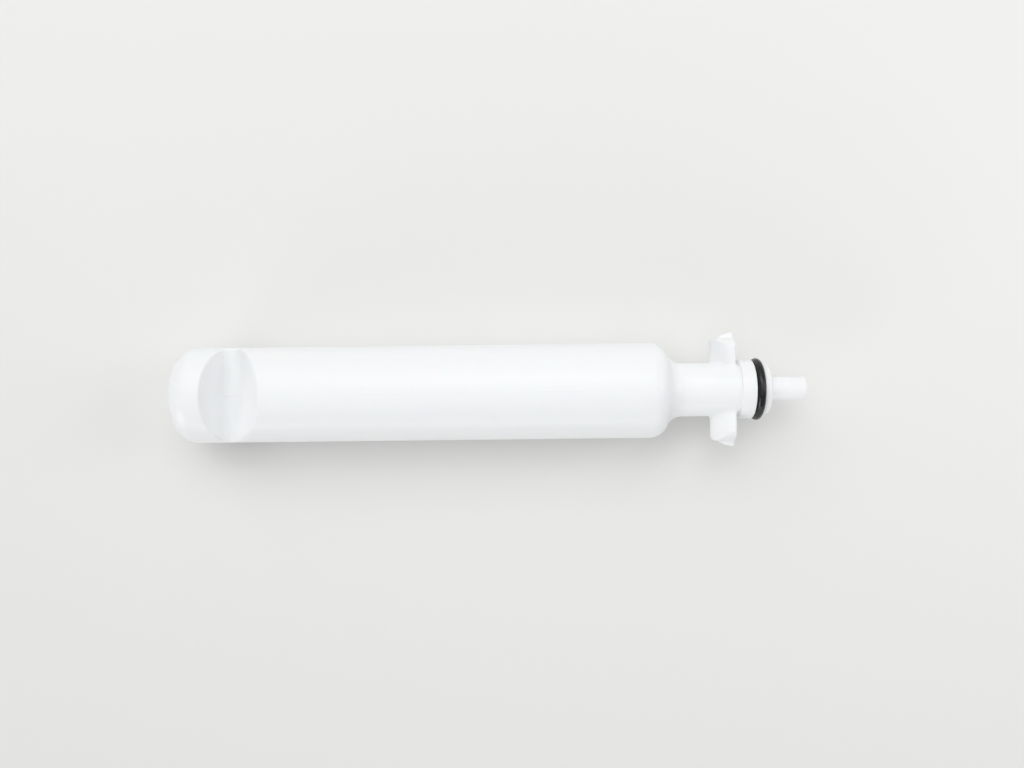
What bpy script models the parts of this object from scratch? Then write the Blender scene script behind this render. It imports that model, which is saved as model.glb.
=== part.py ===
"""Water filter bypass plug: a round white moulding with a rubber sealing ring, lying on its side.

The plug's axis runs along X, from the domed crown of the grip end to the stem at +X, and +Z is up.
Lengths are in metres. A station is a distance along the axis from the crown. Outlines are written as
(station, height) or (station, width) pairs measured from the axis.
"""

import math

import bmesh
import bpy
from mathutils import Vector, geometry

COLLECTION_NAME = "bypass_plug"

# Body: a round bar with a crowned grip end and a soft shoulder
BODY_RADIUS = 0.0138
BODY_LENGTH = 0.14265
CROWN_RADIUS = 0.040
GRIP_CORNER_RADIUS = 0.0065
SHOULDER_RADIUS = 0.0055

# Finger scoops: two opposed notches across the grip end, which leave a web between them
SCOOP_START = 0.0110
SCOOP_LENGTH = 0.0164
WEB_THICKNESS = 0.0060
PULL_WALL_RUN = 0.0045
RAMP_RUN = 0.0082
SCOOP_FOOT_RADIUS = 0.0030

# Neck, between the shoulder and the collar
NECK_RADIUS = 0.0077
NECK_LENGTH = 0.0201
NECK_FILLET_RADIUS = 0.0050

# Locking lugs: two bullet-shaped ears that point back to the grip, each with a rib along its end
LUG_SETBACK = 0.0011
LUG_LENGTH = 0.0069
LUG_HEIGHT = 0.0100
LUG_REACH = 0.01495
LUG_END_RADIUS = 0.0060
LUG_TAIL_RADIUS = 0.0020
LUG_CORNER_RADIUS = 0.0007
LUG_ROOT_RADIUS = 0.0009
LUG_SHOULDER_SHARE = 0.35
LUG_TAIL_SHARE = 0.25
RIB_SETBACK = 0.0002
RIB_LENGTH = 0.0050
RIB_REACH = 0.0164
RIB_THICKNESS = 0.0028
RIB_ROOT_DEPTH = 0.0015
RIB_CREST_SHARE = 0.55

# Sealing ring and the clearance that it has in its groove
RING_SECTION_RADIUS = 0.0012
RING_CENTRE_RADIUS = 0.00775
SEAT_CLEARANCE = 0.0003

# Collar behind the ring and land in front of it
COLLAR_RADIUS = 0.00845
COLLAR_LENGTH = 0.00385
COLLAR_EDGE_RADIUS = 0.0003
LAND_RADIUS = 0.0073
LAND_LENGTH = 0.0020
LAND_ROUND_RADIUS = 0.0012

# Stem, which opens the valve in the filter head
STEM_RADIUS = 0.0035
STEM_LENGTH = 0.0107
STEM_TIP_RADIUS = 0.0007
STEM_FILLET_RADIUS = 0.0004

# How finely round shapes are faceted
TURN_STEPS = 64
RING_SECTION_STEPS = 12
LARGE_ARC_STEPS = 8
SMALL_ARC_STEPS = 3
WELD_DISTANCE = 0.00001
CUT_OVERRUN = 0.002

# Stations of the faces along the axis
NECK_END = BODY_LENGTH + NECK_LENGTH
GROOVE_START = NECK_END + COLLAR_LENGTH
RING_STATION = GROOVE_START + SEAT_CLEARANCE + RING_SECTION_RADIUS
GROOVE_END = RING_STATION + RING_SECTION_RADIUS + SEAT_CLEARANCE
LAND_END = GROOVE_END + LAND_LENGTH
STEM_END = LAND_END + STEM_LENGTH
GROOVE_RADIUS = RING_CENTRE_RADIUS - RING_SECTION_RADIUS - SEAT_CLEARANCE

# The body lies on one of its flats, half a facet round from the top of the turned profile
HALF_FACET = math.pi / TURN_STEPS
AXIS_HEIGHT = BODY_RADIUS * math.cos(HALF_FACET)
NECK_FLAT_RADIUS = NECK_RADIUS * math.cos(HALF_FACET)

QUARTER_TURN = math.pi / 2


def clear_scene():
    """Remove every object that is already in the file."""
    for old in list(bpy.data.objects):
        bpy.data.objects.remove(old, do_unlink=True)


def new_collection(name):
    collection = bpy.data.collections.new(name)
    bpy.context.scene.collection.children.link(collection)
    return collection


def principled(name, colour, roughness, specular):
    """A plain Principled material in one colour."""
    material = bpy.data.materials.new(name)
    material.use_nodes = True
    shader = material.node_tree.nodes["Principled BSDF"]
    shader.inputs["Base Color"].default_value = (*colour, 1)
    shader.inputs["Roughness"].default_value = roughness
    shader.inputs["Specular IOR Level"].default_value = specular
    return material


def white_moulding_material():
    return principled("white_moulding", (0.86, 0.87, 0.88), roughness=0.28, specular=0.5)


def black_rubber_material():
    return principled("black_rubber", (0.012, 0.012, 0.013), roughness=0.38, specular=0.5)


def arc(centre, radius, start, end, steps):
    """Points round a circle in the plane of an outline, from one angle to another."""
    angles = [start + (end - start) * step / steps for step in range(steps + 1)]
    return [(centre[0] + radius * math.cos(a), centre[1] + radius * math.sin(a)) for a in angles]


def bezier(start, start_handle, end_handle, end, steps):
    """Points along one cubic Bezier span in the plane of an outline."""
    corners = [Vector((*point, 0)) for point in (start, start_handle, end_handle, end)]
    return [tuple(point.xy) for point in geometry.interpolate_bezier(*corners, steps + 1)]


def mirrored(outline):
    """The outline's points in reverse order with their second value turned over."""
    return [(station, -other) for station, other in reversed(outline)]


def add_object(name, mesh, collection, parent):
    obj = bpy.data.objects.new(name, mesh)
    collection.objects.link(obj)
    obj.parent = parent
    return obj


def turned(name, profile, collection, parent):
    """A solid of revolution about the axis, from a profile that runs from the nose back to the crown."""
    mesh = bpy.data.meshes.new(name)
    points = [(station, radius, 0) for station, radius in profile]
    edges = [(index, index + 1) for index in range(len(points) - 1)]
    mesh.from_pydata(points, edges, [])
    obj = add_object(name, mesh, collection, parent)
    obj.rotation_euler.x = HALF_FACET
    screw = obj.modifiers.new("turn", "SCREW")
    screw.axis = "X"
    screw.steps = TURN_STEPS
    screw.render_steps = TURN_STEPS
    screw.use_merge_vertices = True
    screw.merge_threshold = WELD_DISTANCE
    screw.use_smooth_shade = True
    return obj


def plate(name, outline, thickness, rotation, collection, parent):
    """A flat outline with the given thickness, centred on its own plane, as a welded mesh."""
    curve = bpy.data.curves.new(name, "CURVE")
    curve.dimensions = "2D"
    curve.fill_mode = "BOTH"
    curve.extrude = thickness / 2
    spline = curve.splines.new("POLY")
    spline.points.add(len(outline) - 1)
    for point, (first, second) in zip(spline.points, outline):
        point.co = (first, second, 0, 1)
    spline.use_cyclic_u = True
    drawn = add_object(name + "_outline", curve, collection, None)
    graph = bpy.context.evaluated_depsgraph_get()
    mesh = bpy.data.meshes.new_from_object(drawn.evaluated_get(graph))
    bpy.data.objects.remove(drawn, do_unlink=True)
    bpy.data.curves.remove(curve)
    shell = bmesh.new()
    shell.from_mesh(mesh)
    bmesh.ops.remove_doubles(shell, verts=shell.verts, dist=WELD_DISTANCE)
    bmesh.ops.recalc_face_normals(shell, faces=shell.faces)
    shell.to_mesh(mesh)
    shell.free()
    mesh.name = name
    obj = add_object(name, mesh, collection, parent)
    obj.rotation_euler = rotation
    return obj


def loft(name, rings, collection, parent):
    """A closed skin through rings of equally many points, with a flat cap on the first and the last."""
    skin = bmesh.new()
    rows = [[skin.verts.new(point) for point in ring] for ring in rings]
    for row, following in zip(rows, rows[1:]):
        for index in range(len(row)):
            skin.faces.new((row[index - 1], row[index], following[index], following[index - 1]))
    skin.faces.new(rows[0])
    skin.faces.new(rows[-1])
    bmesh.ops.recalc_face_normals(skin, faces=skin.faces)
    mesh = bpy.data.meshes.new(name)
    skin.to_mesh(mesh)
    skin.free()
    return add_object(name, mesh, collection, parent)


def helper(obj):
    """Keep a cutter or a shape to be joined out of the finished model."""
    obj.hide_render = True
    obj.display_type = "WIRE"
    return obj


def combine(obj, other, operation):
    modifier = obj.modifiers.new(operation.lower() + "_" + other.name, "BOOLEAN")
    modifier.operation = operation
    modifier.solver = "EXACT"
    modifier.object = other


def stem_and_land_profile():
    """From the tip of the stem back to the front wall of the seal groove."""
    tip = arc(
        (STEM_END - STEM_TIP_RADIUS, STEM_RADIUS - STEM_TIP_RADIUS),
        STEM_TIP_RADIUS, 0, QUARTER_TURN, SMALL_ARC_STEPS,
    )
    root = arc(
        (LAND_END + STEM_FILLET_RADIUS, STEM_RADIUS + STEM_FILLET_RADIUS),
        STEM_FILLET_RADIUS, 3 * QUARTER_TURN, 2 * QUARTER_TURN, SMALL_ARC_STEPS,
    )
    land = arc(
        (LAND_END - LAND_ROUND_RADIUS, LAND_RADIUS - LAND_ROUND_RADIUS),
        LAND_ROUND_RADIUS, 0, QUARTER_TURN, SMALL_ARC_STEPS,
    )
    return [(STEM_END, 0)] + tip + root + land + [(GROOVE_END, LAND_RADIUS)]


def groove_and_collar_profile():
    """The floor of the seal groove, then the collar and the small step down to the neck."""
    edge = arc(
        (GROOVE_START - COLLAR_EDGE_RADIUS, COLLAR_RADIUS - COLLAR_EDGE_RADIUS),
        COLLAR_EDGE_RADIUS, 0, QUARTER_TURN, SMALL_ARC_STEPS,
    )
    floor = [(GROOVE_END, GROOVE_RADIUS), (GROOVE_START, GROOVE_RADIUS)]
    return floor + edge + [(NECK_END, COLLAR_RADIUS), (NECK_END, NECK_RADIUS)]


def neck_and_shoulder_profile():
    """The neck's hollow fillet runs into the shoulder's round, tangent to it where the step is low."""
    step = BODY_RADIUS - NECK_RADIUS
    lean = math.asin(max(0, 1 - step / (SHOULDER_RADIUS + NECK_FILLET_RADIUS)))
    shoulder_centre = (BODY_LENGTH - SHOULDER_RADIUS, BODY_RADIUS - SHOULDER_RADIUS)
    centre_distance = (SHOULDER_RADIUS + NECK_FILLET_RADIUS) * math.cos(lean)
    fillet_centre = (shoulder_centre[0] + centre_distance, NECK_RADIUS + NECK_FILLET_RADIUS)
    fillet = arc(
        fillet_centre, NECK_FILLET_RADIUS, 3 * QUARTER_TURN, 2 * QUARTER_TURN + lean, LARGE_ARC_STEPS
    )
    shoulder = arc(shoulder_centre, SHOULDER_RADIUS, lean, QUARTER_TURN, LARGE_ARC_STEPS)
    return fillet + shoulder[1:] if lean > 0 else fillet + shoulder


def grip_end_profile():
    """The round at the edge of the grip end runs tangent into its shallow crown."""
    centre_radius = BODY_RADIUS - GRIP_CORNER_RADIUS
    lean = math.asin(centre_radius / (CROWN_RADIUS - GRIP_CORNER_RADIUS))
    corner_station = CROWN_RADIUS - (CROWN_RADIUS - GRIP_CORNER_RADIUS) * math.cos(lean)
    corner = arc(
        (corner_station, centre_radius),
        GRIP_CORNER_RADIUS, QUARTER_TURN, 2 * QUARTER_TURN - lean, LARGE_ARC_STEPS,
    )
    crown = arc(
        (CROWN_RADIUS, 0), CROWN_RADIUS, 2 * QUARTER_TURN - lean, 2 * QUARTER_TURN, SMALL_ARC_STEPS
    )
    return corner + crown[1:-1] + [(0, 0)]


def plug_profile():
    return (
        stem_and_land_profile()
        + groove_and_collar_profile()
        + neck_and_shoulder_profile()
        + grip_end_profile()
    )


def angle_between(wall_direction, floor_direction):
    return math.acos(max(-1, min(1, wall_direction.dot(floor_direction))))


def foot_round(corner, wall_direction, floor_direction, radius):
    """An arc of the scoop's foot, tangent to its wall and to its floor at their corner."""
    between = angle_between(wall_direction, floor_direction)
    reach = radius / math.tan(between / 2)
    bisector = (wall_direction + floor_direction).normalized()
    centre = corner + bisector * (radius / math.sin(between / 2))
    first = corner + wall_direction * reach - centre
    last = corner + floor_direction * reach - centre
    sweep = last.angle_signed(first)
    start = math.atan2(first.y, first.x)
    return arc(centre, radius, start, start + sweep, LARGE_ARC_STEPS)


def foot_radius_on_floor(pull_wall, ramp, forward):
    """The foot radius, limited so that the rounds at both ends of the floor have room on it."""
    floor_length = SCOOP_LENGTH - PULL_WALL_RUN - RAMP_RUN
    pull_reach = 1 / math.tan(angle_between(pull_wall, forward) / 2)
    ramp_reach = 1 / math.tan(angle_between(ramp, -forward) / 2)
    return min(SCOOP_FOOT_RADIUS, floor_length / (pull_reach + ramp_reach) - WELD_DISTANCE)


def scoop_outline():
    """The notch seen from the side: a steep wall to pull on and a long ramp, dished where they meet."""
    depth = BODY_RADIUS - WEB_THICKNESS / 2
    pull_wall = Vector((-PULL_WALL_RUN, depth)).normalized()
    ramp = Vector((RAMP_RUN, depth)).normalized()
    pull_foot = Vector((SCOOP_START + PULL_WALL_RUN, WEB_THICKNESS / 2))
    ramp_foot = Vector((SCOOP_START + SCOOP_LENGTH - RAMP_RUN, WEB_THICKNESS / 2))
    forward = Vector((1, 0))
    pull_top = pull_foot + pull_wall * (depth + CUT_OVERRUN) / pull_wall.y
    ramp_top = ramp_foot + ramp * (depth + CUT_OVERRUN) / ramp.y
    radius = foot_radius_on_floor(pull_wall, ramp, forward)
    return (
        [tuple(pull_top)]
        + foot_round(pull_foot, pull_wall, forward, radius)
        + list(reversed(foot_round(ramp_foot, ramp, -forward, radius)))
        + [tuple(ramp_top)]
    )


def lug_outline():
    """The lugs seen from the side: a flat front face and a round back like a bullet's."""
    front = NECK_END - LUG_SETBACK
    half_height = LUG_HEIGHT / 2
    corner = arc(
        (front - LUG_CORNER_RADIUS, half_height - LUG_CORNER_RADIUS),
        LUG_CORNER_RADIUS, 0, QUARTER_TURN, SMALL_ARC_STEPS,
    )
    flank = bezier(
        corner[-1],
        (corner[-1][0] - LUG_LENGTH * LUG_SHOULDER_SHARE, half_height),
        (front - LUG_LENGTH, half_height * LUG_TAIL_SHARE),
        (front - LUG_LENGTH, 0),
        LARGE_ARC_STEPS,
    )
    upper = corner + flank[1:]
    face_height = half_height - LUG_CORNER_RADIUS
    shares = [step / LARGE_ARC_STEPS for step in range(1, LARGE_ARC_STEPS)]
    face = [(front, face_height * (2 * share - 1)) for share in shares]
    return upper + mirrored(upper[:-1]) + face


def outward_directions(outline):
    """The outward direction at each point of a closed outline that runs anticlockwise."""
    directions = []
    for index in range(len(outline)):
        before = Vector(outline[index - 1])
        after = Vector(outline[(index + 1) % len(outline)])
        along = (after - before).normalized()
        directions.append(Vector((along.y, -along.x)))
    return directions


def root_point(point, outward, share):
    """A point on a ball rolled along the corner of a lug's wall and the neck, from the wall to the neck."""
    centre_height = point[1] + LUG_ROOT_RADIUS * outward.y
    reach = NECK_FLAT_RADIUS + LUG_ROOT_RADIUS
    centre_width = math.sqrt(reach * reach - centre_height * centre_height)
    centre = Vector((point[0] + LUG_ROOT_RADIUS * outward.x, centre_width, centre_height))
    to_wall = Vector((-outward.x, 0, -outward.y))
    to_neck = Vector((0, -centre_width, -centre_height)).normalized()
    return centre + LUG_ROOT_RADIUS * to_wall.slerp(to_neck, share)


def lug_bar_rings():
    """Both lugs as one bar through the neck, with a fillet where each leaves it."""
    outline = lug_outline()
    outward = outward_directions(outline)
    tip = [Vector((station, RIB_REACH, height)) for station, height in outline]
    shares = [step / LARGE_ARC_STEPS for step in range(LARGE_ARC_STEPS + 1)]
    roots = [[root_point(*pair, share) for pair in zip(outline, outward)] for share in shares]
    left = [tip] + roots
    right = [[Vector((x, -y, z)) for x, y, z in ring] for ring in reversed(left)]
    return left + right


def lug_end_outline():
    """The lugs seen from the front, as (height, width): a bar with half-round ends."""
    end = arc(
        (0, LUG_REACH - LUG_END_RADIUS), LUG_END_RADIUS, 0, 2 * QUARTER_TURN, 2 * LARGE_ARC_STEPS
    )
    return end + mirrored(end)


def lug_plan_outline():
    """The lugs seen from above, as (station, width): square in front, with round corners at the back."""
    tail_corner = (NECK_END - LUG_SETBACK - LUG_LENGTH + LUG_TAIL_RADIUS, LUG_REACH - LUG_TAIL_RADIUS)
    corner = arc(tail_corner, LUG_TAIL_RADIUS, QUARTER_TURN, 2 * QUARTER_TURN, LARGE_ARC_STEPS)
    upper = [(NECK_END, LUG_REACH)] + corner
    return upper + mirrored(upper)


def rib_outline():
    """The ribs along the ends of the lugs seen from above: they grow towards the front face."""
    front = NECK_END - LUG_SETBACK - RIB_SETBACK
    start = (front - RIB_LENGTH, LUG_REACH - RIB_ROOT_DEPTH)
    crest = bezier(
        (front, RIB_REACH),
        (front - RIB_LENGTH * RIB_CREST_SHARE, RIB_REACH),
        (front - RIB_LENGTH, LUG_REACH),
        start,
        LARGE_ARC_STEPS,
    )
    return crest + mirrored(crest)


def make_plug_body(collection, helpers, axis):
    """The one moulding: turned bar, lugs joined on, finger scoops cut away."""
    body = turned("plug_body", plug_profile(), collection, axis)
    body.data.materials.append(white_moulding_material())
    side_view = (QUARTER_TURN, 0, 0)
    front_view = (0, -QUARTER_TURN, 0)
    lugs = helper(loft("lug_bar", lug_bar_rings(), helpers, axis))
    ends = helper(plate("lug_ends", lug_end_outline(), 2 * STEM_END, front_view, helpers, axis))
    plan = helper(plate("lug_plan", lug_plan_outline(), 2 * LUG_HEIGHT, (0, 0, 0), helpers, axis))
    ribs = helper(plate("lug_ribs", rib_outline(), RIB_THICKNESS, (0, 0, 0), helpers, axis))
    combine(lugs, ends, "INTERSECT")
    combine(lugs, plan, "INTERSECT")
    combine(body, lugs, "UNION")
    combine(body, ribs, "UNION")
    upper = scoop_outline()
    cut_width = 2 * (BODY_RADIUS + CUT_OVERRUN)
    for name, outline in (("scoop_upper", upper), ("scoop_lower", mirrored(upper))):
        scoop = helper(plate(name, outline, cut_width, side_view, helpers, axis))
        combine(body, scoop, "DIFFERENCE")
    return body


def make_o_ring(collection, axis):
    """The rubber ring, a little clear of its groove all round."""
    bpy.ops.mesh.primitive_torus_add(
        major_segments=TURN_STEPS,
        minor_segments=RING_SECTION_STEPS,
        major_radius=RING_CENTRE_RADIUS,
        minor_radius=RING_SECTION_RADIUS,
    )
    ring = bpy.context.object
    ring.name = "o_ring"
    ring.data.name = "o_ring"
    ring.data.shade_smooth()
    ring.data.materials.append(black_rubber_material())
    for holder in list(ring.users_collection):
        holder.objects.unlink(ring)
    collection.objects.link(ring)
    ring.parent = axis
    ring.location.x = RING_STATION
    ring.rotation_euler.y = QUARTER_TURN
    return ring


def main():
    clear_scene()
    parts = new_collection(COLLECTION_NAME)
    helpers = new_collection("cutters_and_joined_shapes")
    axis = bpy.data.objects.new("plug_axis", None)
    parts.objects.link(axis)
    axis.location = (-STEM_END / 2, 0, AXIS_HEIGHT)
    make_plug_body(parts, helpers, axis)
    make_o_ring(parts, axis)


main()
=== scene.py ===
"""Looks of the water filter bypass plug: a gloss white moulding and its black rubber sealing ring.

The plug lies along X with its grip end at -X and its stem at +X. A station is a distance along the axis
from the crown of the grip end. Lengths are in metres, and angles round the axis start at +Y and go up.
"""

import math

import bpy
import numpy as np
from mathutils import Matrix, Vector


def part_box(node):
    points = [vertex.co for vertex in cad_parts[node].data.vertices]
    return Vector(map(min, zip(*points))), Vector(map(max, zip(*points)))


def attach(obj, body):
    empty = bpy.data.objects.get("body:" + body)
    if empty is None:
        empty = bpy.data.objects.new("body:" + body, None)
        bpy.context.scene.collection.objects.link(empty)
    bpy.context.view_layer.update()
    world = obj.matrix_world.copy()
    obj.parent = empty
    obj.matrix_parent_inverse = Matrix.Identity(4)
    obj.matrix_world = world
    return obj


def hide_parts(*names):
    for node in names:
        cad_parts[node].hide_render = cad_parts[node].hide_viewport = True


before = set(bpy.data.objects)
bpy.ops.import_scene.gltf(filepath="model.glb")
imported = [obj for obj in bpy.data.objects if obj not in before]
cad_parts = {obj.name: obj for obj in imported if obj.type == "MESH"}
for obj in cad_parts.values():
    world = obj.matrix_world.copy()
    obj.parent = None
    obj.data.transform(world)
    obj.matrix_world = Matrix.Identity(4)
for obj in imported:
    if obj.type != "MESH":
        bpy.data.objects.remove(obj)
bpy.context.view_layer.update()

MM = 0.001

# The line where the mould's halves met
PARTING_RIDGE_HEIGHT = 0.022 * MM
PARTING_RIDGE_WIDTH = 0.16 * MM
RIDGE_FADE_RADIUS = 2 * MM

# The moulding's box and the ring's box in the frame
PLUG_LOW, PLUG_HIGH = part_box("plug_body")
RING_LOW, RING_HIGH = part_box("o_ring")
AXIS_HEIGHT = (PLUG_LOW.z + PLUG_HIGH.z) / 2
CROWN_X = PLUG_LOW.x
PLUG_LENGTH = PLUG_HIGH.x - PLUG_LOW.x

# Body and grip end
BODY_RADIUS = AXIS_HEIGHT - PLUG_LOW.z - PARTING_RIDGE_HEIGHT
BODY_LENGTH = 142.65 * MM
CROWN_RADIUS = 40 * MM
GRIP_CORNER_RADIUS = 6.5 * MM
SHOULDER_RADIUS = 5.5 * MM

# Finger scoops
SCOOP_START = 11.0 * MM
SCOOP_LENGTH = 16.4 * MM
WEB_THICKNESS = 6.0 * MM
PULL_WALL_RUN = 4.5 * MM
RAMP_RUN = 8.2 * MM
SCOOP_FOOT_RADIUS = 3.0 * MM
SCOOP_EDGE_RADIUS = 0.4 * MM

# How far past a scoop's edge its own rows reach and the plain rows begin, and how many times its depth
# the notch's outline rises
SCOOP_ROWS_REACH = 2 * SCOOP_EDGE_RADIUS
PLAIN_ROWS_GAP = 3 * SCOOP_EDGE_RADIUS
SCOOP_OVERSHOOT = 2

# The flash that the mould left on the web, in both scoops
FLASH_MIDDLE = 16.1 * MM
FLASH_LENGTH = 3.6 * MM
FLASH_WIDTH = 0.3 * MM
FLASH_HEIGHT = 0.12 * MM
FLASH_BOW = 0.25 * MM

# Neck
NECK_RADIUS = 7.7 * MM
NECK_LENGTH = 20.1 * MM
NECK_FILLET_RADIUS = 5.0 * MM

# Locking lugs and their ribs
LUG_SETBACK = 1.1 * MM
LUG_LENGTH = 6.9 * MM
LUG_HEIGHT = 10.0 * MM
LUG_REACH = 14.95 * MM
LUG_END_RADIUS = 6.0 * MM
LUG_TAIL_RADIUS = 2.0 * MM
LUG_CORNER_RADIUS = 0.7 * MM
LUG_EDGE_RADIUS = 0.3 * MM
LUG_ROOT_RADIUS = 0.9 * MM
LUG_SHOULDER_SHARE = 0.35
LUG_TAIL_SHARE = 0.25
RIB_SETBACK = 0.2 * MM
RIB_LENGTH = 5.0 * MM
RIB_REACH = 16.4 * MM
RIB_THICKNESS = 2.8 * MM
RIB_DRAFT = 0.18
RIB_ROOT_DEPTH = 1.5 * MM
RIB_CREST_SHARE = 0.55
RIB_EDGE_RADIUS = 0.25 * MM

# Collar, seal groove, land and stem
COLLAR_RADIUS = 8.45 * MM
COLLAR_EDGE_RADIUS = 0.3 * MM
STEP_EDGE_RADIUS = 0.15 * MM
GROOVE_GAP = 0.12 * MM
LAND_RADIUS = 7.3 * MM
LAND_ROUND_RADIUS = 1.2 * MM
LAND_EDGE_RADIUS = 0.2 * MM
STEM_RADIUS = 3.5 * MM
STEM_LENGTH = 10.7 * MM
STEM_TIP_RADIUS = 0.7 * MM
STEM_FILLET_RADIUS = 0.4 * MM

# Sealing ring, from its box
RING_SECTION_RADIUS = (RING_HIGH.x - RING_LOW.x) / 2
RING_CENTRE_RADIUS = (RING_HIGH.y - RING_LOW.y) / 2 - RING_SECTION_RADIUS
RING_X = (RING_HIGH.x + RING_LOW.x) / 2
RING_FLASH_HEIGHT = 0.02 * MM
RING_FLASH_ANGLE = 0.08

# Stations that follow from the sizes above
NECK_START = BODY_LENGTH - SHOULDER_RADIUS
NECK_END = BODY_LENGTH + NECK_LENGTH
LUG_FRONT = NECK_END - LUG_SETBACK
FAN_STATION = LUG_FRONT - LUG_LENGTH / 2
LAND_END = PLUG_LENGTH - STEM_LENGTH
RING_STATION = RING_X - CROWN_X
GROOVE_START = RING_STATION - RING_SECTION_RADIUS - GROOVE_GAP
GROOVE_END = RING_STATION + RING_SECTION_RADIUS + GROOVE_GAP
GROOVE_RADIUS = RING_CENTRE_RADIUS - RING_SECTION_RADIUS

# Points round each arc and rows along each straight stretch of the mesh, from the crown to the stem
CROWN_STEPS = 9
GRIP_CORNER_STEPS = 20
GRIP_ROWS = 4
FOOT_STEPS = 15
SCOOP_WALL_ROWS = 38
SCOOP_FLOOR_ROWS = 5
SCOOP_RAMP_ROWS = 31
BODY_ROWS = 8
SHOULDER_STEPS = 18
NECK_FILLET_STEPS = 12
NECK_ROWS = 3
LUG_CORNER_STEPS = 7
LUG_FLANK_STEPS = 30
RIB_CREST_STEPS = 22
SHARP_EDGE_STEPS = 5
SOFT_EDGE_STEPS = 7
FACE_ROWS = 3
GROOVE_WALL_ROWS = 1
LAND_STEPS = 10
TIP_EDGE_STEPS = 8
TIP_ROWS = 2
RING_STEPS = 320
RING_SECTION_STEPS = 56

# Columns of the moulding's skin over a quarter turn, as (degrees, degrees, columns): they crowd where
# edges run along the plug
QUARTER_SPANS = [
    (0, 3.5, 2), (3.5, 6.5, 8), (6.5, 9, 2), (9, 16, 14), (16, 44, 30), (44, 82, 14), (82, 88, 8),
    (88, 90, 5),
]
# Rays that fan out from the axis under the middle of the lugs, as (degrees, degrees, rows)
FAN_SPANS = [
    (-30, -21.5, 8), (-21.5, -13, 20), (-13, -8, 9), (-8, 10.5, 15), (10.5, 13.5, 9),
    (13.5, 21.5, 15), (21.5, 30, 10),
]
RAY_REACH = 2 * RIB_REACH
BISECTIONS = 44
QUARTER_TURN = math.pi / 2


def spread(spans):
    """Values stepped evenly over each (first, last, count), with the very last value added."""
    steps = [np.linspace(first, last, count, endpoint=False) for first, last, count in spans]
    return np.append(np.concatenate(steps), spans[-1][1])


def arc(centre, radius, start, end, count):
    """Points round a circle, from one angle to another: centre + radius * (cosine, sine)."""
    angles = np.linspace(start, end, count)
    return np.stack([centre[0] + radius * np.cos(angles), centre[1] + radius * np.sin(angles)], axis=1)


def bezier(start, start_handle, end_handle, end, count):
    """A cubic Bezier span: each corner weighted by its Bernstein polynomial."""
    t = np.linspace(0, 1, count)[:, None]
    corners = [np.array(corner) for corner in (start, start_handle, end_handle, end)]
    weights = [(1 - t) ** 3, 3 * t * (1 - t) ** 2, 3 * t ** 2 * (1 - t), t ** 3]
    return sum(weight * corner for weight, corner in zip(weights, corners))


def stretch(first, last, count):
    """Points evenly along a straight line, without its ends."""
    shares = np.linspace(0, 1, count + 2)[1:-1, None]
    return (1 - shares) * np.array(first) + shares * np.array(last)


def column_angles():
    """Angles round the axis: the quarter's columns, then mirrored into the other three quarters."""
    quarter = np.radians(spread(QUARTER_SPANS))
    half = np.concatenate([quarter[:-1], np.pi - quarter[:0:-1]])
    return np.concatenate([half, np.pi + half])


def turned(outline, angles):
    """A surface of revolution: each (station, radius) is carried round the axis through all angles."""
    stations, radii = outline[:, 0], outline[:, 1]
    grid = np.empty((len(outline), len(angles), 3))
    grid[..., 0] = stations[:, None]
    grid[..., 1] = radii[:, None] * np.cos(angles)
    grid[..., 2] = radii[:, None] * np.sin(angles)
    return grid


def outline_distance(x, y, outline):
    """Distance from each point to a polyline: the least distance to any of its straight pieces."""
    start, end = outline[:-1], outline[1:]
    along = end - start
    from_x = x[..., None] - start[:, 0]
    from_y = y[..., None] - start[:, 1]
    share = (from_x * along[:, 0] + from_y * along[:, 1]) / (along ** 2).sum(axis=1)
    share = np.clip(share, 0, 1)
    return np.hypot(from_x - share * along[:, 0], from_y - share * along[:, 1]).min(axis=-1)


def joined(first, second, radius):
    """Distance to two solids joined with a fillet: the nearer of the two, rounded within the radius."""
    near_first = np.maximum(radius - first, 0)
    near_second = np.maximum(radius - second, 0)
    return np.maximum(radius, np.minimum(first, second)) - np.hypot(near_first, near_second)


def common(first, second, radius):
    """Distance to what two solids share, with its edge rounded: the farther of the two, rounded."""
    past_first = np.maximum(radius + first, 0)
    past_second = np.maximum(radius + second, 0)
    return np.minimum(-radius, np.maximum(first, second)) + np.hypot(past_first, past_second)


def skin_along_rays(solid, starts, leans, angles):
    """Where rays from the axis leave a solid, found by halving each ray's span over and over.

    A ray starts at a station on the axis, leans forward by an angle and turns round the axis by another.
    """
    near = np.zeros((len(starts), len(angles)))
    far = np.full_like(near, RAY_REACH)
    for _ in range(BISECTIONS):
        middle = (near + far) / 2
        station = starts[:, None] + middle * np.sin(leans)[:, None]
        radius = middle * np.cos(leans)[:, None]
        inside = solid(station, radius * np.cos(angles), radius * np.sin(angles)) < 0
        near = np.where(inside, middle, near)
        far = np.where(inside, far, middle)
    station = starts[:, None] + near * np.sin(leans)[:, None]
    radius = near * np.cos(leans)[:, None]
    return np.stack([station, radius * np.cos(angles), radius * np.sin(angles)], axis=-1)


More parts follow.
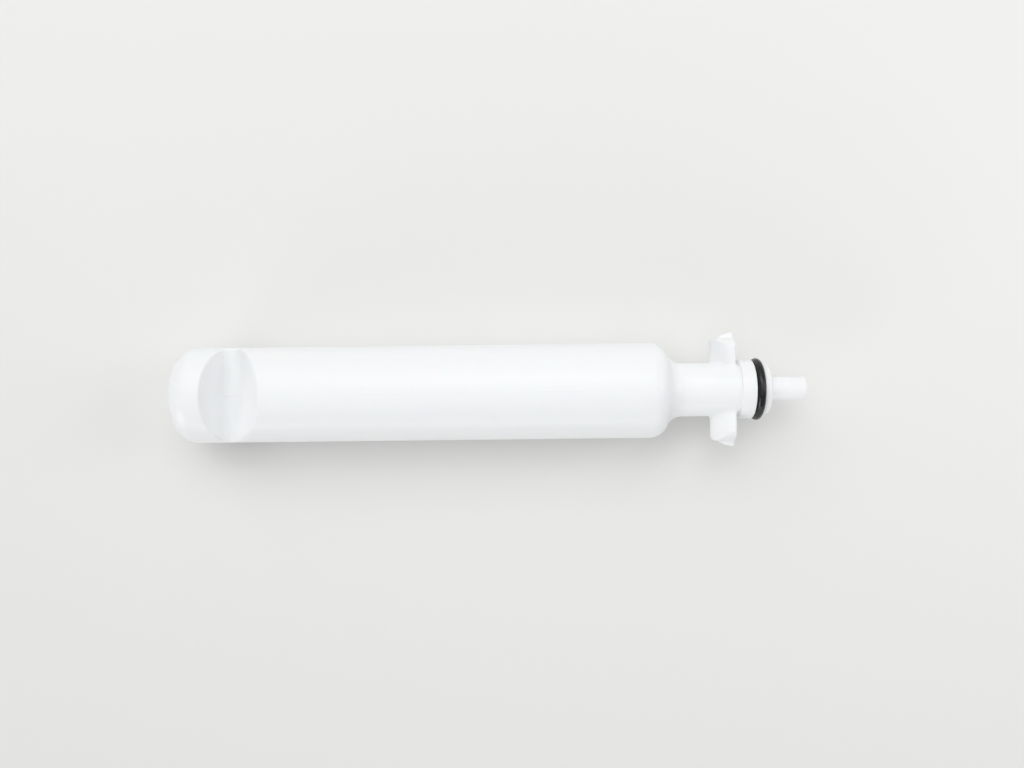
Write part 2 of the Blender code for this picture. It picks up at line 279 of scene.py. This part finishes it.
def grip_outline():
    """Crown and corner of the grip end: a shallow sphere, then a round tangent to it and to the body."""
    centre_radius = BODY_RADIUS - GRIP_CORNER_RADIUS
    lean = math.asin(centre_radius / (CROWN_RADIUS - GRIP_CORNER_RADIUS))
    corner_station = CROWN_RADIUS - (CROWN_RADIUS - GRIP_CORNER_RADIUS) * math.cos(lean)
    crown_end = 2 * QUARTER_TURN - lean
    crown = arc((CROWN_RADIUS, 0), CROWN_RADIUS, 2 * QUARTER_TURN, crown_end, CROWN_STEPS)
    corner_centre = (corner_station, centre_radius)
    corner = arc(corner_centre, GRIP_CORNER_RADIUS, crown_end, QUARTER_TURN, GRIP_CORNER_STEPS)
    scoop_near = (SCOOP_START - PLAIN_ROWS_GAP, BODY_RADIUS)
    return np.concatenate([crown, corner[1:], stretch(corner[-1], scoop_near, GRIP_ROWS)])


def foot_round(corner, wall, floor):
    """The arc of the scoop's foot, tangent to its wall and to its floor, given as unit directions."""
    between = wall.angle(floor)
    reach = SCOOP_FOOT_RADIUS / math.tan(between / 2)
    centre = corner + (wall + floor).normalized() * (SCOOP_FOOT_RADIUS / math.sin(between / 2))
    first = corner + wall * reach - centre
    last = corner + floor * reach - centre
    start = math.atan2(first.y, first.x)
    return arc(centre, SCOOP_FOOT_RADIUS, start, start + last.angle_signed(first), FOOT_STEPS)


def scoop_outline():
    """The notch from the side: a steep wall to pull on and a ramp, dished where they meet."""
    depth = BODY_RADIUS - WEB_THICKNESS / 2
    wall = Vector((-PULL_WALL_RUN, depth)).normalized()
    ramp = Vector((RAMP_RUN, depth)).normalized()
    forward = Vector((1, 0))
    wall_foot = Vector((SCOOP_START + PULL_WALL_RUN, WEB_THICKNESS / 2))
    ramp_foot = Vector((SCOOP_START + SCOOP_LENGTH - RAMP_RUN, WEB_THICKNESS / 2))
    wall_round = foot_round(wall_foot, wall, forward)
    ramp_round = foot_round(ramp_foot, ramp, -forward)[::-1]
    wall_top = np.array(wall_foot + wall * (SCOOP_OVERSHOOT * depth / wall.y))
    ramp_top = np.array(ramp_foot + ramp * (SCOOP_OVERSHOOT * depth / ramp.y))
    return np.concatenate([wall_top[None], wall_round, ramp_round, ramp_top[None]])


def scooped_bar(station, y, z):
    """Distance to the body with its two notches: a round bar, less where it is higher than the notch."""
    outline = scoop_outline()
    height = np.abs(z)
    distance = outline_distance(station, height, outline)
    above = height > np.interp(station, outline[:, 0], outline[:, 1])
    bar = np.hypot(y, z) - BODY_RADIUS
    return common(bar, np.where(above, distance, -distance), SCOOP_EDGE_RADIUS)


def scoop_stations():
    """Rows across the scoops, close together on the steep walls and at their edges."""
    wall_end = SCOOP_START + PULL_WALL_RUN + SCOOP_FOOT_RADIUS / 2
    ramp_start = SCOOP_START + SCOOP_LENGTH - RAMP_RUN
    end = SCOOP_START + SCOOP_LENGTH + SCOOP_ROWS_REACH
    return spread([
        (SCOOP_START - SCOOP_ROWS_REACH, wall_end, SCOOP_WALL_ROWS),
        (wall_end, ramp_start, SCOOP_FLOOR_ROWS),
        (ramp_start, end, SCOOP_RAMP_ROWS),
    ])


def shoulder_outline():
    """Body, shoulder and neck: a round and a hollow fillet that are tangent to each other."""
    step = BODY_RADIUS - NECK_RADIUS
    lean = math.asin(max(0, 1 - step / (SHOULDER_RADIUS + NECK_FILLET_RADIUS)))
    round_centre = (NECK_START, BODY_RADIUS - SHOULDER_RADIUS)
    distance = (SHOULDER_RADIUS + NECK_FILLET_RADIUS) * math.cos(lean)
    fillet_centre = (NECK_START + distance, NECK_RADIUS + NECK_FILLET_RADIUS)
    body_start = (SCOOP_START + SCOOP_LENGTH + PLAIN_ROWS_GAP, BODY_RADIUS)
    shoulder = arc(round_centre, SHOULDER_RADIUS, QUARTER_TURN, lean, SHOULDER_STEPS)
    fillet_turns = (2 * QUARTER_TURN + lean, 3 * QUARTER_TURN)
    fillet = arc(fillet_centre, NECK_FILLET_RADIUS, *fillet_turns, NECK_FILLET_STEPS)
    fan_start = FAN_STATION + NECK_RADIUS * math.tan(math.radians(FAN_SPANS[0][0]))
    body = stretch(body_start, shoulder[0], BODY_ROWS)
    neck = stretch(fillet[-1], (fan_start, NECK_RADIUS), NECK_ROWS)
    return np.concatenate([np.array([body_start]), body, shoulder, fillet[1:], neck])


def lug_outline():
    """Upper half of a lug from the side: flat front, small corner, then a back like a bullet's."""
    half_height = LUG_HEIGHT / 2
    centre = (LUG_FRONT - LUG_CORNER_RADIUS, half_height - LUG_CORNER_RADIUS)
    corner = arc(centre, LUG_CORNER_RADIUS, 0, QUARTER_TURN, LUG_CORNER_STEPS)
    flank = bezier(
        corner[-1],
        (corner[-1][0] - LUG_LENGTH * LUG_SHOULDER_SHARE, half_height),
        (LUG_FRONT - LUG_LENGTH, half_height * LUG_TAIL_SHARE),
        (LUG_FRONT - LUG_LENGTH, 0),
        LUG_FLANK_STEPS,
    )
    return np.concatenate([[(LUG_FRONT, 0)], corner, flank[1:]])


def rib_outline():
    """Crest of a rib from above: it grows from the lug's end towards the front face."""
    front = LUG_FRONT - RIB_SETBACK
    back = front - RIB_LENGTH
    handles = (front - RIB_LENGTH * RIB_CREST_SHARE, RIB_REACH), (back, LUG_REACH)
    root = (back, LUG_REACH - RIB_ROOT_DEPTH)
    return bezier((front, RIB_REACH), *handles, root, RIB_CREST_STEPS)


def lugged_neck(station, y, z):
    """Distance to the neck with its lugs: a round bar joined to a bar with half-round ends and a rib."""
    side, up = np.abs(y), np.abs(z)

    # The bullet seen from the side, with half-round ends
    outline = lug_outline()
    behind_front = outline[1:]
    height = np.interp(station, behind_front[::-1, 0], behind_front[::-1, 1], left=-1, right=-1)
    distance = outline_distance(station, up, outline)
    bullet = np.where(up < height, -distance, distance)
    past_centre = np.maximum(side - (LUG_REACH - LUG_END_RADIUS), 0)
    lug = common(bullet, np.hypot(past_centre, up) - LUG_END_RADIUS, LUG_EDGE_RADIUS)

    # The round back corners seen from above
    past_tail = LUG_FRONT - LUG_LENGTH + LUG_TAIL_RADIUS - station
    past_side = side - LUG_REACH + LUG_TAIL_RADIUS
    corner = np.hypot(np.maximum(past_tail, 0), np.maximum(past_side, 0)) - LUG_TAIL_RADIUS
    lug = common(lug, corner + np.minimum(np.maximum(past_tail, past_side), 0), LUG_EDGE_RADIUS)

    # The rib along the end
    crest = rib_outline()
    distance = outline_distance(station, side, crest)
    crest_height = np.interp(station, crest[::-1, 0], crest[::-1, 1])
    over = np.where(side < crest_height, -distance, distance)
    flank = up - RIB_THICKNESS / 2 + RIB_DRAFT * (side - LUG_REACH)
    ends = np.abs(station - crest[0, 0] + RIB_LENGTH / 2) - RIB_LENGTH / 2
    rib = common(common(flank, over, RIB_EDGE_RADIUS), ends, RIB_EDGE_RADIUS)
    lug = joined(lug, rib, RIB_EDGE_RADIUS)

    return joined(np.hypot(y, z) - NECK_RADIUS, lug, LUG_ROOT_RADIUS)


def nose_outline():
    """Collar, groove, land and stem, from the neck's end to the middle of the tip."""
    step = arc(
        (NECK_END + STEP_EDGE_RADIUS, COLLAR_RADIUS - STEP_EDGE_RADIUS),
        STEP_EDGE_RADIUS, 2 * QUARTER_TURN, QUARTER_TURN, SHARP_EDGE_STEPS,
    )
    edge = arc(
        (GROOVE_START - COLLAR_EDGE_RADIUS, COLLAR_RADIUS - COLLAR_EDGE_RADIUS),
        COLLAR_EDGE_RADIUS, QUARTER_TURN, 0, SOFT_EDGE_STEPS,
    )
    groove_front = arc(
        (GROOVE_END + LAND_EDGE_RADIUS, LAND_RADIUS - LAND_EDGE_RADIUS),
        LAND_EDGE_RADIUS, 2 * QUARTER_TURN, QUARTER_TURN, SHARP_EDGE_STEPS,
    )
    land = arc(
        (LAND_END - LAND_ROUND_RADIUS, LAND_RADIUS - LAND_ROUND_RADIUS),
        LAND_ROUND_RADIUS, QUARTER_TURN, 0, LAND_STEPS,
    )
    root = arc(
        (LAND_END + STEM_FILLET_RADIUS, STEM_RADIUS + STEM_FILLET_RADIUS),
        STEM_FILLET_RADIUS, 2 * QUARTER_TURN, 3 * QUARTER_TURN, SOFT_EDGE_STEPS,
    )
    tip = arc(
        (PLUG_LENGTH - STEM_TIP_RADIUS, STEM_RADIUS - STEM_TIP_RADIUS),
        STEM_TIP_RADIUS, QUARTER_TURN, 0, TIP_EDGE_STEPS,
    )
    corners = np.array([(NECK_END, NECK_RADIUS + STEP_EDGE_RADIUS)])
    floor = np.array([(GROOVE_START, GROOVE_RADIUS), (GROOVE_END, GROOVE_RADIUS)])
    tip_middle = np.array([(PLUG_LENGTH, 0)])
    return np.concatenate([
        corners, step, stretch(step[-1], edge[0], FACE_ROWS), edge,
        stretch(edge[-1], floor[0], GROOVE_WALL_ROWS), floor,
        stretch(floor[1], groove_front[0], GROOVE_WALL_ROWS), groove_front, land,
        stretch(land[-1], root[0], FACE_ROWS), root, stretch(root[-1], tip[0], FACE_ROWS), tip,
        stretch(tip[-1], tip_middle[0], TIP_ROWS), tip_middle,
    ])


def plug_grid():
    """The whole moulding as one grid of rows along the plug and columns round it."""
    angles = column_angles()
    stations = scoop_stations()
    fan = np.radians(spread(FAN_SPANS))
    scoops = skin_along_rays(scooped_bar, stations, np.zeros_like(stations), angles)
    lugs = skin_along_rays(lugged_neck, np.full_like(fan, FAN_STATION), fan, angles)
    return np.concatenate([
        turned(grip_outline(), angles), scoops, turned(shoulder_outline(), angles), lugs,
        turned(nose_outline(), angles),
    ])


def add_parting_ridge(grid):
    """A hair-thin ridge where the mould's two halves met, with a thicker flash in the scoops.

    Both are bells, exp(-(y / width)^2), on the top and the underside, pushed away from the axis, and
    both fade out close to it. The flash also swells and dies along the plug as the cosine of the
    distance from its middle, and its line bows sideways with the square of that distance.
    """
    station, side = grid[..., 0], grid[..., 1]
    radius = np.hypot(side, grid[..., 2])
    ridge = PARTING_RIDGE_HEIGHT * np.exp(-(side / PARTING_RIDGE_WIDTH) ** 2)
    share = np.clip((station - FLASH_MIDDLE) / (FLASH_LENGTH / 2), -1, 1)
    bow = FLASH_BOW * share ** 2
    flash = FLASH_HEIGHT * np.cos(share * QUARTER_TURN) * np.exp(-((side + bow) / FLASH_WIDTH) ** 2)
    lift = (ridge + flash) * np.clip(radius / RIDGE_FADE_RADIUS, 0, 1)
    grid[..., 2] += np.sign(grid[..., 2]) * lift


def closed_skin(name, grid):
    """A mesh from a grid whose first and last rows are poles and whose columns close into rings."""
    rows, columns = grid.shape[0] - 2, grid.shape[1]
    points = np.concatenate([grid[0, :1], grid[1:-1].reshape(-1, 3), grid[-1, :1]])
    index = 1 + np.arange(rows * columns).reshape(rows, columns)
    beside = np.roll(index, -1, axis=1)
    quads = np.stack([index[:-1], beside[:-1], beside[1:], index[1:]], axis=-1).reshape(-1, 4)
    first = np.stack([np.zeros(columns, int), beside[0], index[0]], axis=-1)
    last = np.stack([np.full(columns, len(points) - 1), index[-1], beside[-1]], axis=-1)
    return mesh_piece(name, points, quads, np.concatenate([first, last]))


def ring_skin(name, grid):
    """A mesh from a grid that closes on itself both ways, as a torus does."""
    index = np.arange(grid.shape[0] * grid.shape[1]).reshape(grid.shape[:2])
    beside = np.roll(index, -1, axis=1)
    below = np.roll(index, -1, axis=0)
    across = np.roll(below, -1, axis=1)
    quads = np.stack([index, beside, across, below], axis=-1).reshape(-1, 4)
    return mesh_piece(name, grid.reshape(-1, 3), quads, np.empty((0, 3), int))


def mesh_piece(name, points, quads, triangles):
    """An object at the origin with these points and faces, shaded smooth and facing outwards."""
    corners = np.concatenate([quads.reshape(-1), triangles.reshape(-1)])
    sizes = np.concatenate([np.full(len(quads), 4), np.full(len(triangles), 3)])
    starts = np.concatenate([[0], np.cumsum(sizes)[:-1]])
    mesh = bpy.data.meshes.new(name)
    mesh.vertices.add(len(points))
    mesh.vertices.foreach_set("co", points.astype(np.float32).reshape(-1))
    mesh.loops.add(len(corners))
    mesh.loops.foreach_set("vertex_index", corners.astype(np.int32))
    mesh.polygons.add(len(sizes))
    mesh.polygons.foreach_set("loop_start", starts.astype(np.int32))
    mesh.polygons.foreach_set("loop_total", sizes.astype(np.int32))
    mesh.update(calc_edges=True)
    mesh.validate()
    mesh.shade_smooth()
    piece = bpy.data.objects.new(name, mesh)
    bpy.context.scene.collection.objects.link(piece)
    return piece


def in_frame(grid):
    """Moves a grid from stations and heights over the axis to the frame's own places."""
    return grid + np.array([CROWN_X, 0, AXIS_HEIGHT])


def make_plug(material):
    """The white moulding, in place of the solid body."""
    grid = plug_grid()
    add_parting_ridge(grid)
    piece = closed_skin("white_moulding", in_frame(grid))
    piece.data.materials.append(material)
    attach(piece, "root")
    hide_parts("plug_body")


def ring_grid():
    """A torus: a circle of the section's radius carried round the axis.

    A hair of mould flash stands on its outermost line: the section's radius is lower everywhere else,
    by one less a bell of the angle from that line.
    """
    turn = np.linspace(0, 2 * np.pi, RING_STEPS, endpoint=False)
    around = np.linspace(0, 2 * np.pi, RING_SECTION_STEPS, endpoint=False)[:, None]
    from_flash = np.angle(np.exp(1j * around))
    flash = np.exp(-(from_flash / RING_FLASH_ANGLE) ** 2)
    section = RING_SECTION_RADIUS - RING_FLASH_HEIGHT * (1 - flash)
    radius = RING_CENTRE_RADIUS + section * np.cos(around)
    station = (RING_STATION + section * np.sin(around)) * np.ones_like(turn)
    return np.stack([station, radius * np.cos(turn), radius * np.sin(turn)], axis=-1)


def make_ring(material):
    """The black sealing ring, in place of the solid ring."""
    piece = ring_skin("black_ring", in_frame(ring_grid()))
    piece.data.materials.append(material)
    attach(piece, "root")
    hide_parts("o_ring")


class Nodes:
    """Shorthand for adding nodes to a tree and linking them."""

    def __init__(self, tree):
        self.tree = tree

    def feed(self, socket, value):
        """Links another node's output to a socket, or sets a plain value on it."""
        if isinstance(value, bpy.types.NodeSocket):
            self.tree.links.new(value, socket)
        else:
            socket.default_value = value

    def add(self, kind, inputs=None, **settings):
        """A new node with these settings, and with its inputs fed by name or by number."""
        node = self.tree.nodes.new(kind)
        for name, value in settings.items():
            setattr(node, name, value)
        for name, value in (inputs or {}).items():
            self.feed(node.inputs[name], value)
        return node

    def place(self):
        """The place on the object, which every pattern reads."""
        return self.add("ShaderNodeTexCoord").outputs["Object"]

    def maths(self, operation, first, second):
        """The result of one operation on two values."""
        return self.add("ShaderNodeMath", {0: first, 1: second}, operation=operation).outputs[0]

    def plus(self, total, value, share):
        """The total plus a share of a value."""
        return self.maths("ADD", total, self.maths("MULTIPLY", value, share))

    def ramp(self, value, low, high, to_low=0.0, to_high=1.0):
        """The value's share of the way from low to high, put between two other values."""
        inputs = {"Value": value, "From Min": low, "From Max": high, "To Min": to_low, "To Max": to_high}
        return self.add("ShaderNodeMapRange", inputs, interpolation_type="SMOOTHSTEP").outputs["Result"]

    def noise(self, space, scale, detail=2.0, roughness=0.5):
        """Soft noise in a space: its scale, how many finer layers it has and how strong they are."""
        inputs = {"Vector": space, "Scale": scale, "Detail": detail, "Roughness": roughness}
        return self.add("ShaderNodeTexNoise", inputs).outputs["Fac"]

    def cell_hearts(self, space, scale, size, bare_share):
        """The hearts of scattered cells, one in the middle and falling to zero at the given size.

        Only the cells whose own random value is over the bare share have one.
        """
        cells = self.add("ShaderNodeTexVoronoi", {"Vector": space, "Scale": scale}).outputs
        heart = self.ramp(cells["Distance"], 0.0, size, 1.0, 0.0)
        own_value = self.add("ShaderNodeSeparateColor", {"Color": cells["Color"]}).outputs["Red"]
        chosen = self.maths("GREATER_THAN", own_value, bare_share)
        return self.maths("MULTIPLY", heart, chosen)

    def mix(self, factor, first, second):
        """A colour between two others."""
        node = self.add("ShaderNodeMix", data_type="RGBA")
        for name, value in (("Factor", factor), ("A", first), ("B", second)):
            self.feed(next(s for s in node.inputs if s.name == name and s.enabled), value)
        return next(s for s in node.outputs if s.enabled)


# Handling marks that both finishes have
MARK_DEFAULTS = {"Hairline Scale": 700.0, "Speck Scale": 900.0, "Speck Size": 0.12}
HAIRLINE_STRETCH = (0.035, 1, 1)
HAIRLINE_TURNS = ((0.1, 0.2, 0.25), (0.3, -0.4, -0.9))
HAIRLINE_SIZE = 0.035
HAIRLINE_BARE_SHARE = 0.7
SPECK_BARE_SHARE = 0.93


def handling_marks_group():
    """Hairline scratches and dust specks, for every finish of the plug.

    Both are the hearts of cells. A speck's cell is even, and a hairline's cell is drawn out along one
    of two directions until its heart is a thin line.
    """
    group = bpy.data.node_groups.new("handling_marks", "ShaderNodeTree")
    for name, default in MARK_DEFAULTS.items():
        socket = group.interface.new_socket(name, in_out="INPUT", socket_type="NodeSocketFloat")
        socket.default_value = default
    group.interface.new_socket("Position", in_out="INPUT", socket_type="NodeSocketVector")
    for name in ("Hairlines", "Specks"):
        group.interface.new_socket(name, in_out="OUTPUT", socket_type="NodeSocketFloat")
    nodes = Nodes(group)
    given = nodes.add("NodeGroupInput").outputs
    sets = []
    for turn in HAIRLINE_TURNS:
        inputs = {"Vector": given["Position"], "Rotation": turn, "Scale": HAIRLINE_STRETCH}
        space = nodes.add("ShaderNodeMapping", inputs).outputs["Vector"]
        scale = given["Hairline Scale"]
        sets.append(nodes.cell_hearts(space, scale, HAIRLINE_SIZE, HAIRLINE_BARE_SHARE))
    specks = nodes.cell_hearts(
        given["Position"], given["Speck Scale"], given["Speck Size"], SPECK_BARE_SHARE
    )
    hairlines = nodes.maths("MAXIMUM", *sets)
    nodes.add("NodeGroupOutput", {"Hairlines": hairlines, "Specks": specks})
    return group


def marks_on(nodes, place, marks, hairline_scale, speck_scale, speck_size):
    """The outputs of the shared marks, placed on one finish at its own scale."""
    inputs = {
        "Position": place,
        "Hairline Scale": hairline_scale,
        "Speck Scale": speck_scale,
        "Speck Size": speck_size,
    }
    node = nodes.add("ShaderNodeGroup", inputs, node_tree=marks)
    return node.outputs["Hairlines"], node.outputs["Specks"]


def new_material(name):
    """An empty material and its nodes."""
    material = bpy.data.materials.new(name)
    material.use_nodes = True
    material.node_tree.nodes.clear()
    return material, Nodes(material.node_tree)


def put_shader(nodes, inputs):
    """One Principled shader with these inputs, as the whole surface of the material."""
    shader = nodes.add("ShaderNodeBsdfPrincipled", inputs)
    nodes.add("ShaderNodeOutputMaterial", {"Surface": shader.outputs["BSDF"]})


# White plastic. Noises are given as scale, detail and roughness, and marks as the scale of the
# hairlines, the scale of the specks and the size of a speck
FLOW_STRETCH = (0.05, 1, 1)
FLOW_NOISE = (380.0, 1.5, 0.5)
FLOW_SPAN = (0.3, 0.7)
SWELL_NOISE = (45.0, 1.0)
SKIN_NOISE = (2600.0, 2.0, 0.6)
RUBBED_NOISE = (70.0, 3.0, 0.6)
RUBBED_SPAN = (0.5, 0.7)
WHITE_MARKS = (650.0, 380.0, 0.06)
WHITE_COLOURS = ((0.888, 0.897, 0.907, 1), (0.894, 0.901, 0.908, 1))
WHITE_SPECK_COLOUR = (0.5, 0.48, 0.44, 1)
WHITE_SPECK_STRENGTH = 0.3
WHITE_ROUGHNESS = (0.285, 0.305)
RUBBED_ROUGHNESS = 0.03
WORN_ROUGHNESS = 0.05
FLOW_HEIGHT = 0.02
SWELL_HEIGHT = 0.9
SKIN_HEIGHT = 0.01
WORN_HEIGHT = -0.01
WHITE_BUMP = {"Strength": 0.5, "Distance": 0.06 * MM}
WHITE_SHADER = {"IOR": 1.46, "Subsurface Weight": 0.08, "Subsurface Scale": 1.5 * MM}


def white_plastic(marks):
    """Gloss white moulded plastic: faint flow lines along the plug, a soft skin and light handling.

    The hairlines show only where a slow noise says that the skin is rubbed.
    """
    material, nodes = new_material("gloss_white_plastic")
    place = nodes.place()
    along = nodes.add("ShaderNodeMapping", {"Vector": place, "Scale": FLOW_STRETCH}).outputs["Vector"]
    flow = nodes.noise(along, *FLOW_NOISE)
    swell = nodes.noise(place, *SWELL_NOISE)
    skin = nodes.noise(place, *SKIN_NOISE)
    rubbed = nodes.ramp(nodes.noise(place, *RUBBED_NOISE), *RUBBED_SPAN)
    hairlines, specks = marks_on(nodes, place, marks, *WHITE_MARKS)
    worn = nodes.maths("MULTIPLY", hairlines, rubbed)

    tint = nodes.mix(nodes.ramp(flow, *FLOW_SPAN), *WHITE_COLOURS)
    speck_cover = nodes.maths("MULTIPLY", specks, WHITE_SPECK_STRENGTH)
    colour = nodes.mix(speck_cover, tint, WHITE_SPECK_COLOUR)

    rough = nodes.ramp(flow, *FLOW_SPAN, *WHITE_ROUGHNESS)
    rough = nodes.plus(rough, rubbed, RUBBED_ROUGHNESS)
    rough = nodes.plus(rough, worn, WORN_ROUGHNESS)

    height = nodes.maths("MULTIPLY", flow, FLOW_HEIGHT)
    height = nodes.plus(height, swell, SWELL_HEIGHT)
    height = nodes.plus(height, skin, SKIN_HEIGHT)
    height = nodes.plus(height, worn, WORN_HEIGHT)
    normal = nodes.add("ShaderNodeBump", {"Height": height, **WHITE_BUMP}).outputs["Normal"]
    put_shader(nodes, {"Base Color": colour, "Roughness": rough, "Normal": normal, **WHITE_SHADER})
    return material


# Black rubber, given as the white plastic is
PATCH_NOISE = (520.0, 3.0, 0.6)
WET_SPAN = (0.5, 0.6)
PIT_NOISE = (3800.0, 2.0)
RUBBER_MARKS = (1500.0, 1600.0, 0.15)
RUBBER_COLOUR = (0.007, 0.007, 0.008, 1)
RUBBER_SPECK_COLOUR = (0.2, 0.2, 0.19, 1)
RUBBER_SPECK_STRENGTH = 0.35
DRY_ROUGHNESS = 0.32
WET_ROUGHNESS_CHANGE = -0.19
PATCH_HEIGHT = 1.8
PIT_HEIGHT = 0.35
HAIRLINE_HEIGHT = -0.2
RUBBER_BUMP = {"Strength": 0.7, "Distance": 0.05 * MM}
RUBBER_SHADER = {"IOR": 1.45}


def black_rubber(marks):
    """Black rubber with a trace of grease: wet patches over a dull, finely pitted skin."""
    material, nodes = new_material("black_rubber")
    place = nodes.place()
    patches = nodes.noise(place, *PATCH_NOISE)
    pits = nodes.noise(place, *PIT_NOISE)
    hairlines, specks = marks_on(nodes, place, marks, *RUBBER_MARKS)
    wet = nodes.ramp(patches, *WET_SPAN)

    speck_cover = nodes.maths("MULTIPLY", specks, RUBBER_SPECK_STRENGTH)
    colour = nodes.mix(speck_cover, RUBBER_COLOUR, RUBBER_SPECK_COLOUR)
    rough = nodes.plus(DRY_ROUGHNESS, wet, WET_ROUGHNESS_CHANGE)

    height = nodes.maths("MULTIPLY", patches, PATCH_HEIGHT)
    height = nodes.plus(height, pits, PIT_HEIGHT)
    height = nodes.plus(height, hairlines, HAIRLINE_HEIGHT)
    normal = nodes.add("ShaderNodeBump", {"Height": height, **RUBBER_BUMP}).outputs["Normal"]
    put_shader(nodes, {"Base Color": colour, "Roughness": rough, "Normal": normal, **RUBBER_SHADER})
    return material


# The floor: half its side, and its finish
FLOOR_HALF = 3.0
FLOOR_SHADER = {"Base Color": (0.82, 0.818, 0.8, 1), "Roughness": 0.55, "Specular IOR Level": 0.3}


def make_floor():
    """A wide square of pale floor at the height that the plug lies on."""
    material, nodes = new_material("pale_floor")
    put_shader(nodes, FLOOR_SHADER)
    corners = [(x * FLOOR_HALF, y * FLOOR_HALF, 0) for x, y in ((-1, -1), (1, -1), (1, 1), (-1, 1))]
    mesh = bpy.data.meshes.new("floor")
    mesh.from_pydata(corners, [], [(0, 1, 2, 3)])
    mesh.materials.append(material)
    floor = bpy.data.objects.new("floor", mesh)
    bpy.context.scene.collection.objects.link(floor)


# The photograph's view: the lens, place and turn that give its perspective, and the small roll that
# the plug has there, given to the camera instead
PHOTO_WIDTH = 1024
FOCAL_PIXELS = 940
SENSOR_WIDTH = 36
CAMERA_PLACE = Vector((8.92, 16.74, 285.86)) * MM
CAMERA_TURN_DEGREES = (-3.047, 0.453, -0.709)
CAMERA_CLIP_START = 10 * MM
PLUG_ROLL_DEGREES = 4.0


def add_camera():
    """The camera, turned about its own place and then rolled about the plug's axis."""
    data = bpy.data.cameras.new("camera")
    data.sensor_width = SENSOR_WIDTH
    data.lens = FOCAL_PIXELS / PHOTO_WIDTH * SENSOR_WIDTH
    data.clip_start = CAMERA_CLIP_START
    camera = bpy.data.objects.new("camera", data)
    bpy.context.scene.collection.objects.link(camera)
    turn = Matrix.Identity(4)
    for degrees, axis in zip(CAMERA_TURN_DEGREES, "XYZ"):
        turn = Matrix.Rotation(math.radians(degrees), 4, axis) @ turn
    axis_place = Matrix.Translation((0, 0, AXIS_HEIGHT))
    roll = axis_place @ Matrix.Rotation(math.radians(PLUG_ROLL_DEGREES), 4, "X") @ axis_place.inverted()
    camera.matrix_world = roll @ Matrix.Translation(CAMERA_PLACE) @ turn
    bpy.context.scene.camera = camera


# The room's own light, and the lamps as (name, place, target, width, depth, watts)
ROOM_COLOUR = (0.97, 0.985, 1.0, 1)
ROOM_STRENGTH = 0.41
LAMPS = [
    ("overhead", (-0.05, 0.3, 1.0), (0, 0, 0), 0.5, 0.4, 0.6),
    ("broad_overhead", (-0.05, 0.1, 1.0), (0, 0, 0), 1.2, 1.0, 2.5),
    ("high_window", (-0.05, 0.6, 0.85), (0, 0, 0), 0.9, 0.5, 2.25),
    ("low_window", (-0.2, 0.85, 0.45), (0, 0, 0), 0.9, 0.5, 0.9),
    ("front", (0, -2.8, 0.474), (0, 0, 0.01), 3.6, 0.6, 14.3),
    ("over_grip_end", (-0.5, 0.45, 0.45), (0, 0, 0), 0.35, 0.3, 0.5),
    ("stem_end", (0.5, 0.1, 0.35), (0, 0, 0), 0.3, 0.3, 0.62),
    ("low_fill", (-1.845, -1.75, 0.61), (-0.02, 0, 0.01), 1.25, 1.25, 13.7),
]


def add_softbox(name, place, target, width, depth, watts):
    """A rectangle that gives soft white light, turned to face its target."""
    data = bpy.data.lights.new(name, "AREA")
    data.shape = "RECTANGLE"
    data.size = width
    data.size_y = depth
    data.energy = watts
    lamp = bpy.data.objects.new(name, data)
    lamp.location = place
    lamp.rotation_euler = (Vector(target) - Vector(place)).to_track_quat("-Z", "Y").to_euler()
    bpy.context.scene.collection.objects.link(lamp)


def light_the_scene():
    """Soft light from above and behind, weaker light from the front and the ends, and a pale room."""
    world = bpy.data.worlds.new("pale_room")
    bpy.context.scene.world = world
    world.use_nodes = True
    background = world.node_tree.nodes["Background"]
    background.inputs["Color"].default_value = ROOM_COLOUR
    background.inputs["Strength"].default_value = ROOM_STRENGTH
    for lamp in LAMPS:
        add_softbox(*lamp)


def main():
    """The camera, both pieces with their finishes, the floor and the light."""
    marks = handling_marks_group()
    add_camera()
    make_plug(white_plastic(marks))
    make_ring(black_rubber(marks))
    make_floor()
    light_the_scene()
    bpy.context.scene.view_settings.view_transform = "Standard"


main()
